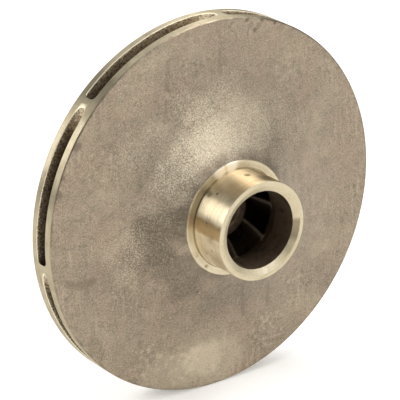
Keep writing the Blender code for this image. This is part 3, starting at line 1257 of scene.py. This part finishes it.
# Painted shade on the dish: the dark crescent left of the neck, the shade below it and towards the lower
# right, with a few smaller dark patches among them.
FACE_PAINTED_SHADE = (
    *spotted(0.92, (-29.5, -1.9, 21.1, 11.0), (-32.4, 1.2, 20.0, 9.0), (-28.4, -8.4, 21.1, 10.0),
             (-26.5, 1.4, 22.6, 9.0), (-23.0, 2.5, 24.2, 7.0)),
    *spotted(0.72, (-34.5, -10.0, 19.0, 12.0), (-24.0, -14.0, 20.8, 12.0), (-17.0, -22.0, 20.3, 12.0)),
    *spotted(0.46, (-4.0, -32.0, 18.0, 16.0), (10.0, -30.0, 18.5, 15.0)),
    *spotted(0.34, (-34.0, -22.0, 17.0, 18.0), (-20.0, -30.0, 17.5, 17.0), (-48.0, -14.0, 15.2, 14.0),
             (45.0, -38.0, 14.3, 15.0), (53.0, -20.0, 14.3, 13.0)),
    *spotted(0.40, (-50.0, -39.7, 14.3, 6.0), (-47.2, -41.9, 14.3, 5.0), (-18.0, 40.0, 16.5, 5.0)),
)
FACE_SCALE = (
    *spotted(1.0, (-14.0, -54.0, 14.9, 12.0), (-28.0, -50.0, 14.5, 11.0), (22.0, -52.0, 14.5, 12.0)),
    *spotted(0.7, (-38.0, -20.0, 16.5, 12.0), (-46.0, 26.0, 15.0, 13.0), (-22.0, -16.0, 20.6, 8.0),
             (36.0, -38.0, 14.7, 13.0), (30.0, 44.0, 14.8, 11.0), (-12.0, 52.0, 14.8, 9.0)),
)
# Painted highlight: above and left of the neck, and in patches elsewhere, where the dish's slope faces the
# lamps, the grain is painted bright as a sparkle.
FACE_PAINTED_SPARKLE = (
    *spotted(0.84, (-9.0, 27.0, 20.8, 13.0), (-16.0, 25.0, 20.4, 13.0), (-22.0, 18.0, 21.0, 12.0),
             (-18.0, 12.0, 24.5, 8.0)),
    *spotted(0.62, (-2.0, 28.0, 20.8, 14.0), (-8.0, 34.0, 18.3, 14.0)),
    *spotted(0.44, (5.0, 29.0, 20.3, 16.0), (12.0, 27.0, 20.7, 17.0), (2.0, 37.0, 17.5, 15.0)),
    *spotted(0.28, (24.2, 20.3, 19.5, 16.0), (20.0, 29.0, 18.5, 16.0), (-28.0, 10.0, 20.3, 12.0)),
    *spotted(0.35, (-26.0, 30.0, 18.0, 13.0), (-34.0, 28.0, 16.8, 12.0), (-14.0, 39.0, 17.2, 11.0)),
    *spotted(0.30, (-37.2, -2.0, 18.2, 9.0), (-37.6, -8.0, 17.9, 9.0), (-38.3, -14.0, 17.2, 8.0)),
    *spotted(0.22, (-41.0, -5.0, 16.8, 13.0), (-34.0, 47.0, 14.8, 12.0), (-3.0, -46.0, 15.8, 13.0)),
)
# Pale patches: a paler patch at the foot, and painted light on the bank above the collar.
FACE_PALE_AND_LIT = (
    *spotted(0.72, (-3.0, -56.5, 14.6, 13.0), (-8.0, -55.0, 14.7, 11.0)),
    *spotted(0.50, (4.0, -57.0, 14.5, 15.0), (-12.0, -58.0, 14.3, 15.0), (0.0, -64.0, 14.3, 14.0)),
    *spotted(0.62, (-10.0, 26.0, 21.0, 10.0), (-3.0, 28.0, 20.7, 11.0)),
    *spotted(0.48, (3.0, 29.0, 20.3, 13.0)),
    *spotted(0.40, (8.0, 29.0, 20.0, 17.0)),
    *spotted(0.36, (-15.0, 24.0, 21.0, 13.0), (-22.0, -57.0, 14.3, 14.0)),
)
# Darker sectors round the neck: partly tarnish, partly painted shade in bands round it.
NECK_TARNISH_AND_SHADE = (
    Sector(-160.0, -104.0, 0.95, 12.0),
    Sector(-104.0, -51.0, 0.55, 10.0),
    Sector(-17.0, 0.0, 1.0, 9.0),
    Sector(0.0, 80.0, 0.34, 10.0),
)
NECK_STAINS = (
    *spotted(0.8, (0.0, 17.5, 32.8, 1.5), (-11.6, 13.1, 31.5, 0.9), (-16.9, 4.5, 33.0, 0.5)),
    *spotted(0.6, (-12.4, 12.6, 26.4, 2.8), (-12.6, 12.2, 28.5, 2.0)),
    *spotted(0.5, (-16.8, -4.8, 36.0, 1.0), (-15.9, -7.3, 31.5, 0.9), (4.0, 17.2, 37.5, 4.5)),
)
# Painted shade on the collar's face, darkest on its left, where the neck stands between it and the light.
COLLAR_PAINTED_SHADE = (
    Sector(-50.0, 0.0, 0.44, 14.0),
    Sector(-70.0, -50.0, 0.18, 18.0),
)
COLLAR_STAINS = spotted(0.7, (-12.6, -14.5, 26.6, 1.0), (-16.4, -10.2, 26.6, 0.6))
# Painted highlights on the collar's face: a bright spot at its top left and a faint lightening at its lower
# left.
COLLAR_LIGHTS = (
    *spotted(0.8, (-1.8, 19.0, 26.6, 4.0), (-6.5, 18.0, 26.6, 4.0)),
    *spotted(0.25, (-14.5, -12.5, 26.6, 5.0), (-9.5, -17.0, 26.6, 5.0), (-18.0, -6.5, 26.6, 4.0)),
)
# Painted light: the upper outlets are painted lighter further in, where light falls into them.
OUTLET_PAINTED_LIGHT = (
    Sector(-130.0, -50.0, 0.90, 40.0),
)
# Painted shade on the bore's chamfer: a dark reflection down its right side, fading downwards, and a faint
# darkening over its top and left.
CHAMFER_PAINTED_SHADE = (
    Sector(-200.0, -176.0, 0.80, 8.0),
    Sector(152.0, 200.0, 0.80, 16.0),
    Sector(132.0, 152.0, 0.40, 20.0),
    Sector(-100.0, 10.0, 0.25, 30.0),
)
# Painted highlights low on the bore's chamfer.
CHAMFER_LIGHTS = (
    *spotted(0.35, (1.8, -14.9, 40.8, 2.2)),
    *spotted(0.20, (4.8, -14.2, 40.8, 3.4), (0.0, -15.4, 40.9, 2.6)),
)


@dataclass(frozen=True)
class SandCastBronze:
    """Bronze as it comes out of a fine sand mould, dressed by shot and dulled by handling.

    The sand leaves a grain of half a millimetre. Above and left of the neck, where the dish's slope
    faces the lamps, the tops of the grain are painted bright and their hollows stay dark: a painted
    sparkle. The rest is a greyed brown, warmer and more olive by turns, with pale banks, dark smudges,
    painted light above the collar, painted shade round and below the neck, and faint runs where it
    dried upright.
    """

    skin: str = "#918473"
    warm: str = "#978473"
    olive: str = "#827b69"
    pale: str = "#c2b49b"
    pale_and_lit: str = "#dccfb6"
    smudge_and_shade: str = "#655b4e"
    grain: float = 0.50 * MM
    grain_height: float = 0.085 * MM
    pit: float = 0.65 * MM
    chip: float = 0.90 * MM
    flake: float = 1.8 * MM
    dimple: float = 2.4 * MM
    dimple_height: float = 0.05 * MM
    fleck: float = 2.5 * MM
    cloud: float = 5.0 * MM
    bank: float = 17.0 * MM
    hair_bend: float = 16.0 * MM
    run_width: float = 1.6 * MM
    run_stretch: float = 0.14
    collar_shade: float = 4.5 * MM
    rim_shade: float = 0.70 * MM
    roughness: tuple[float, float] = (0.28, 0.42)

    def make(self, sizes: ImpellerSizes) -> Material:
        """Lay the finish.

        Args:
            sizes: The impeller's sizes.

        Returns:
            The material.
        """
        coat = Coat("bronze_sand_cast")
        grain = coat.clouds(self.grain, lumps=0.65)
        dimples = coat.clouds(self.dimple, 1.0, 0.5, seed=3.0)
        mottle = coat.clouds(self.dimple, seed=15.0)
        lively = Mask(coat.clouds(self.bank, lumps=0.5, seed=13.0), 0.42, 0.60)
        runs = coat.clouds(self.run_width, lumps=0.6, seed=17.0, stretch=(1.0, self.run_stretch, 1.0))
        sparkle_lit = coat.marks(FACE_PAINTED_SPARKLE, ragged=6.0 * MM)
        scaly = coat.marks(FACE_SCALE, ragged=8.0 * MM)
        flakes = coat.clouds(self.flake, lumps=0.6, seed=23.0)
        # A hairline runs where this noise crosses one half.
        wander = coat.clouds(self.hair_bend, 2.0, 0.5, seed=27.0)
        hairs = (Mask(wander, 0.486, 0.496), Mask(wander, 0.510, 0.500))
        sparse = Mask(coat.clouds(self.bank, 2.0, 0.5, seed=31.0), 0.50, 0.60)
        collar, edge = sizes.collar_radius, sizes.outer_radius - sizes.front_corner
        coat.paint(self.skin, [
            Layer(self.warm, 0.60, (Mask(coat.clouds(self.bank), 0.42, 0.66),)),
            Layer(self.olive, 0.55, (Mask(coat.clouds(self.cloud, seed=2.0), 0.42, 0.68),)),
            Layer(self.pale, 0.35, (Mask(coat.clouds(self.bank, seed=7.0), 0.50, 0.75),)),
            Layer(self.smudge_and_shade, 0.22, (Mask(coat.clouds(self.fleck, seed=9.0), 0.52, 0.74),)),
            Layer(self.smudge_and_shade, 0.16, (Mask(runs, 0.50, 0.70), lively)),
            Layer(self.pale, 0.32, (Mask(runs, 0.50, 0.32), lively)),
            Layer(self.warm, 0.45, (Mask(mottle, 0.46, 0.60),)),
            Layer(self.smudge_and_shade, 0.20, (Mask(mottle, 0.48, 0.34),)),
            Layer(self.smudge_and_shade, 0.38, (Mask(flakes, 0.53, 0.64), scaly)),
            Layer(self.pale, 0.45, (Mask(flakes, 0.47, 0.36), scaly)),
            Layer(self.smudge_and_shade, 0.40, (*hairs, sparse)),
            # Painted shade round and below the neck.
            Layer(self.smudge_and_shade, 1.0, (coat.marks(FACE_PAINTED_SHADE, ragged=9.0 * MM),)),
            # A paler patch at the foot, and painted light above the collar.
            Layer(self.pale_and_lit, 0.62, (coat.marks(FACE_PALE_AND_LIT, ragged=5.0 * MM),)),
            Layer(self.pale, 0.36, (Mask(grain, 0.42, 0.70),)),
            Layer(self.smudge_and_shade, 0.27, (Mask(grain, 0.52, 0.30),)),
            Layer(self.smudge_and_shade, 0.20, (Mask(grain, 0.52, 0.34), lively)),
            # Painted sparkle: the tops of the grain painted bright where the dish faces the lamps.
            Layer(self.pale, 0.26, (sparkle_lit,)),
            Layer(self.pale_and_lit, 0.95, (sparkle_lit, Mask(grain, 0.40, 0.66))),
            Layer(self.pale, 0.80, (Mask(coat.clouds(self.chip, 1.0, 0.5, seed=19.0), 0.74, 0.80),)),
            Layer(self.smudge_and_shade, 0.70, (Mask(coat.clouds(self.pit, seed=11.0), 0.64, 0.74),)),
            # Darker towards the collar: grime in the corner, and painted shade where the collar shades the
            # dish.
            Layer(self.smudge_and_shade, 0.62, (Mask(coat.radius, collar + self.collar_shade, collar),
                                      Mask(coat.clouds(self.cloud, seed=5.0), 0.30, 0.60))),
            Layer(self.smudge_and_shade, 0.45, (Mask(coat.radius, edge - self.rim_shade, edge),
                                      Mask(coat.clouds(self.cloud, seed=21.0), 0.40, 0.62))),
            Layer(self.smudge_and_shade, 1.0, (coat.marks(FACE_SPOTS, ragged=1.0 * MM),)),
        ])
        coat.emboss([(grain, self.grain_height), (dimples, self.dimple_height)])
        coat.dull(self.cloud, *self.roughness)
        return coat.material


@dataclass(frozen=True)
class CoredBronze:
    """Bronze cast against a coarse sand core and left as cast: a dark brown crust inside the passages.

    It is rougher than the outside. Near the rim the outlets are dressed by the same shot as the outer
    faces, so there the crust is lighter and its coarse grain shows; that lightening towards the mouths
    is also painted light, where light reaches into the slots. In the upper outlets the lighter crust is
    painted further in: painted light that falls into them.
    """

    name: str = "bronze_cast_on_sand_core"
    crust: str = "#7d6c5a"
    rust: str = "#756150"
    blasted_and_lit: str = "#c6b69a"
    soot: str = "#3a322a"
    worn: str = "#d6cbb2"
    bright: str = "#e6dcc4"
    grain: float = 0.7 * MM
    grain_height: float = 0.16 * MM
    patch: float = 3.0 * MM
    soot_patch: float = 5.1 * MM
    roughness: float = 0.6
    blasted_and_lit_depth: float = 5.0 * MM
    lit_depth: float = 15.0 * MM
    filed: tuple[float, float] = (0.34 * MM, 0.204 * MM)
    worn_edge: tuple[float, float] = (0.52, 0.57)
    lit_sectors: tuple[Sector, ...] = OUTLET_PAINTED_LIGHT

    def make(self, sizes: ImpellerSizes) -> Material:
        """Lay the finish.

        Args:
            sizes: The impeller's sizes.

        Returns:
            The material.
        """
        coat = Coat(self.name)
        rim = sizes.outer_radius
        grain = coat.clouds(self.grain, 2.0, 0.6)
        sharp = coat.node("ShaderNodeNewGeometry", output="Pointiness")
        outlet = Mask(coat.radius, rim - self.blasted_and_lit_depth, rim)
        lit_deeper = Mask(coat.radius, rim - self.lit_depth, rim)
        filed = Mask(coat.radius, *(rim - depth for depth in self.filed))
        coat.paint(self.crust, [
            Layer(self.rust, 1.0, (Mask(coat.clouds(self.patch), 0.45, 0.70),)),
            Layer(self.soot, 0.60, (Mask(coat.clouds(self.soot_patch, seed=5.0), 0.52, 0.72),)),
            # Lighter towards the slot mouths: crust dressed by shot, and painted light where light reaches
            # into the slots.
            Layer(self.blasted_and_lit, 0.85, (outlet, Mask(grain, 0.28, 0.60))),
            # Painted light further into the upper outlets.
            Layer(self.blasted_and_lit, 1.0, (coat.sectors(self.lit_sectors), lit_deeper, Mask(grain, 0.34, 0.60))),
            Layer(self.worn, 1.0, (outlet, Mask(grain, 0.52, 0.64))),
            Layer(self.worn, 1.0, (outlet, Mask(sharp, *self.worn_edge))),
            Layer(self.bright, 1.0, (filed, Mask(grain, 0.20, 0.45))),
        ])
        coat.fill(coat.shader, {"Roughness": self.roughness})
        coat.emboss([(grain, self.grain_height)])
        return coat.material


class Lay(Enum):
    """Which way the rings of a turned surface follow one another."""

    ALONG_SHAFT = "height"
    ACROSS_FACE = "radius"


@dataclass(frozen=True)
class TurnedBronze:
    """Bronze cut on a lathe: bright, satin, drawn out by fine rings that run round the shaft.

    The rings spread a reflection across themselves, so light stands on the neck as one long stripe.
    Real feed marks are 0.1 mm apart. They are drawn several times coarser so that they show.
    """

    name: str
    lay: Lay
    metal: str = "#f5e9cb"
    tarnish: str = "#d8c49d"
    patina: str = "#c2a67a"
    stain: str = "#7d6a4c"
    speck: str = "#4a4033"
    polish: str = "#fff8ea"
    ring: float = 0.42 * MM
    ring_height: float = 0.004 * MM
    band: float = 1.4 * MM
    ripple: float = 0.9 * MM
    ripple_height: float = 0.006 * MM
    fleck: float = 0.55 * MM
    score: float = 0.30 * MM
    score_squeeze: float = 2.2 * MM
    patch: float = 5.0 * MM
    tarnished: float = 0.4
    specks: float = 0.7
    roughness: float = 0.42
    roughness_spread: tuple[float, float] = (-0.04, 0.08)
    anisotropy: float = 0.92
    across_rings: float = 0.25
    stains: tuple[Spot, ...] = ()
    polished: tuple[Spot, ...] = ()
    sectors: tuple[Sector, ...] = ()

    def make(self) -> Material:
        """Lay the finish.

        Returns:
            The material.
        """
        coat = Coat(self.name)
        along = getattr(coat, self.lay.value)
        rings, bands = (
            coat.node("ShaderNodeTexNoise", {"W": along, "Scale": 1.0 / width, "Detail": detail},
                      noise_dimensions="1D")
            for width, detail in ((self.ring, 2.0), (self.band, 1.0))
        )
        scores = coat.arcs(along, self.score, self.score_squeeze)
        coat.paint(self.metal, [
            Layer(self.tarnish, self.tarnished, (Mask(coat.clouds(self.patch), 0.38, 0.66),)),
            Layer(self.tarnish, 0.35, (Mask(rings, 0.40, 0.68),)),
            Layer(self.tarnish, 0.30, (Mask(bands, 0.45, 0.65),)),
            # Painted shade by turn round the shaft: on the collar and the chamfer, and on the neck together
            # with tarnish.
            Layer(self.patina, 1.0, (coat.sectors(self.sectors),)),
            Layer(self.speck, 0.45, (Mask(scores, 0.64, 0.74),)),
            Layer(self.speck, self.specks, (Mask(coat.clouds(self.fleck, seed=8.0), 0.66, 0.74),)),
            # Painted highlights.
            Layer(self.polish, 1.0, (coat.marks(self.polished),)),
            Layer(self.stain, 1.0, (coat.marks(self.stains),)),
        ])
        coat.emboss([(rings, self.ring_height), (coat.clouds(self.ripple, 2.0, 0.5), self.ripple_height)])
        coat.dull(self.patch, *(self.roughness + more for more in self.roughness_spread))
        coat.fill(coat.shader, {
            "Anisotropic": self.anisotropy,
            "Anisotropic Rotation": self.across_rings,
            "Tangent": coat.node("ShaderNodeTangent", direction_type="RADIAL", axis="Z"),
        })
        return coat.material


def bearing(azimuth: float, elevation: float) -> Vector:
    """Way from the impeller to a lamp or a camera.

    Args:
        azimuth: Its direction in degrees: 0 is straight in front, 90 to the right.
        elevation: How high it stands, in degrees.

    Returns:
        The way, one metre long.
    """
    turn, tilt = math.radians(azimuth), math.radians(elevation)
    return Vector((math.sin(turn) * math.cos(tilt), -math.cos(turn) * math.cos(tilt), math.sin(tilt)))


@dataclass(frozen=True)
class OpalTable:
    """A table of white opal acrylic, matt and lit a little from below, that the impeller stands on."""

    opal: str = "#f2f1ef"
    shade: str = "#edecea"
    mottle: float = 20.0 * MM
    roughness: float = 0.9
    glow: float = 0.30
    side: float = 6.0

    def build(self, height: float) -> Object:
        """Put up the table.

        Args:
            height: Height of its face.

        Returns:
            The floor.
        """
        coat = Coat("acrylic_matt_white")
        coat.fill(coat.shader, {
            "Metallic": 0.0,
            "Roughness": self.roughness,
            "Emission Color": linear(self.opal),
            "Emission Strength": self.glow,
        })
        mottle = Mask(coat.clouds(self.mottle, 2.0, 0.5), 0.3, 0.7)
        coat.paint(self.opal, [Layer(self.shade, 1.0, (mottle,))])
        bpy.ops.mesh.primitive_plane_add(size=self.side, location=(0.0, 0.0, height))
        floor = bpy.context.object
        floor.name = "floor"
        floor.data.materials.append(coat.material)
        return floor


@dataclass(frozen=True)
class SoftBox:
    """A soft box that looks at the impeller.

    Attributes:
        name: Its name.
        azimuth: Where it stands, in degrees: 0 is straight in front, 90 to the right.
        elevation: How high it stands, in degrees.
        width: Its width.
        height: Its height.
        power: Its power in watts.
        distance: How far it is from the impeller.
    """

    name: str
    azimuth: float
    elevation: float
    width: float
    height: float
    power: float
    distance: float = 1.0

    def build(self) -> Object:
        """Put up the box, out of the camera's sight.

        Returns:
            The lamp.
        """
        towards = bearing(self.azimuth, self.elevation)
        data = bpy.data.lights.new(self.name, "AREA")
        data.shape = "RECTANGLE"
        data.size, data.size_y = self.width, self.height
        data.energy = self.power
        box = bpy.data.objects.new(self.name, data)
        box.location = towards * self.distance
        box.rotation_euler = towards.to_track_quat("Z", "Y").to_euler()
        box.visible_camera = False
        bpy.context.scene.collection.objects.link(box)
        return box


@dataclass(frozen=True)
class Studio:
    """An opal table, soft boxes and a grey room, seen from the photograph's side.

    Attributes:
        room: Brightness of the room around the table.
        boxes: The soft boxes.
        azimuth: Where the camera stands, in degrees from straight in front.
        elevation: How high it stands.
        lens: Its focal length in millimetres.
        sensor: Width of its sensor in millimetres.
        sight: How far it sees.
        distance: How far it is from the front face.
        aside: How far its axis passes beside the middle of the front face.
        above: How far its axis passes above it.
    """

    room: float = 0.34
    boxes: tuple[SoftBox, ...] = (
        SoftBox("soft_box_key", 35.0, 20.0, 0.9, 0.7, 1.8),
        SoftBox("soft_box_front", 0.0, 35.0, 0.6, 0.5, 1.3),
        SoftBox("soft_box_left_tall", -99.0, 28.0, 0.45, 0.6, 4.3),
        SoftBox("soft_box_left_back", -130.0, 22.0, 0.7, 0.6, 2.5),
        SoftBox("soft_box_top", -10.0, 72.0, 0.8, 0.8, 0.7),
        SoftBox("soft_box_right_high", 70.0, 60.0, 0.6, 0.5, 4.8),
        SoftBox("soft_box_table", 160.0, 50.0, 1.2, 0.8, 4.5, 1.3),
    )
    azimuth: float = -35.98
    elevation: float = 22.07
    lens: float = 270.0
    sensor: float = 36.0
    sight: float = 20.0
    distance: float = 1.02018
    aside: float = -4.874 * MM
    above: float = 2.247 * MM

    def build(self, sizes: ImpellerSizes) -> None:
        """Put up the table and the lights, and aim the camera.

        Args:
            sizes: The impeller's sizes.
        """
        OpalTable().build(-sizes.outer_radius)
        for box in self.boxes:
            box.build()
        world = bpy.data.worlds.new("studio")
        world.use_nodes = True
        light = world.node_tree.nodes["Background"].inputs["Color"]
        light.default_value = (self.room, self.room, self.room, 1.0)
        scene = bpy.context.scene
        scene.world = world
        scene.view_settings.view_transform = "Standard"
        scene.camera = self.camera(sizes)

    def camera(self, sizes: ImpellerSizes) -> Object:
        """Aim a long lens past the middle of the front face, as the photograph does.

        Args:
            sizes: The impeller's sizes.

        Returns:
            The camera.
        """
        back = bearing(self.azimuth, self.elevation)
        turn = math.radians(self.azimuth)
        right = Vector((math.cos(turn), math.sin(turn), 0.0))
        up = back.cross(right)
        data = bpy.data.cameras.new("camera")
        data.lens = self.lens
        data.sensor_width = self.sensor
        data.clip_end = self.sight
        camera = bpy.data.objects.new("camera", data)
        bpy.context.scene.collection.objects.link(camera)
        face = Vector((0.0, -sizes.front_edge, 0.0))
        place = face + right * self.aside + up * self.above + back * self.distance
        camera.matrix_world = Matrix.Translation(place) @ Matrix((right, up, back)).transposed().to_4x4()
        return camera


def faced(name: str, **marks: Any) -> Material:
    """Bronze faced off on a lathe, a little duller than the neck.

    Args:
        name: Which face it is.
        marks: Its own stains, painted shade and painted highlights.

    Returns:
        The material.
    """
    return TurnedBronze(name, Lay.ACROSS_FACE, metal="#d0c5aa", tarnish="#c0b08e", roughness=0.44,
                        anisotropy=0.35, **marks).make()


def dress(sizes: ImpellerSizes) -> dict[Zone, Material]:
    """Make the finish of each surface.

    Args:
        sizes: The impeller's sizes.

    Returns:
        The finishes.
    """
    return {
        Zone.SAND_CAST: SandCastBronze().make(sizes),
        Zone.CORED: CoredBronze().make(sizes),
        Zone.RIM: TurnedBronze("bronze_turned_rim", Lay.ALONG_SHAFT, metal="#b9af95", tarnish="#a2957b",
                               tarnished=0.7).make(),
        Zone.FACED: faced("bronze_faced"),
        # The dark colour given to collar and chamfer lays their painted shade; their lights are painted
        # highlights.
        Zone.COLLAR: faced("bronze_faced_collar", patina="#6b5b41", stains=COLLAR_STAINS,
                           polished=COLLAR_LIGHTS, sectors=COLLAR_PAINTED_SHADE),
        Zone.CHAMFERED: faced("bronze_chamfered", patina="#8d8068", polished=CHAMFER_LIGHTS,
                              sectors=CHAMFER_PAINTED_SHADE),
        Zone.BORED: TurnedBronze("bronze_bored", Lay.ALONG_SHAFT, metal="#857459", tarnish="#5f5140",
                                 tarnished=0.9).make(),
        Zone.NECK: TurnedBronze("bronze_turned_neck", Lay.ALONG_SHAFT, tarnished=0.25, roughness=0.36,
                                stains=NECK_STAINS, sectors=NECK_TARNISH_AND_SHADE).make(),
        Zone.WORN: CoredBronze("bronze_worn_vane_edge", crust="#8d8474", rust="#766b5b", soot="#574f44",
                               grain_height=0.03 * MM).make(sizes),
    }


def main() -> None:
    """Build the finishes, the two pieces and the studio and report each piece."""
    logging.basicConfig(level=logging.INFO, format="%(message)s")
    sizes = ImpellerSizes.from_frame()
    finishes = dress(sizes)
    for piece in (CastBody(sizes), TurnedNeck(sizes)):
        triangles = sum(len(face.vertices) - 2 for face in piece.build(finishes).data.polygons)
        LOG.info("%s: %d triangles, stands for %s", piece.name, triangles, ", ".join(piece.replaced))
    Studio().build(sizes)


if __name__ == "__main__":
    main()
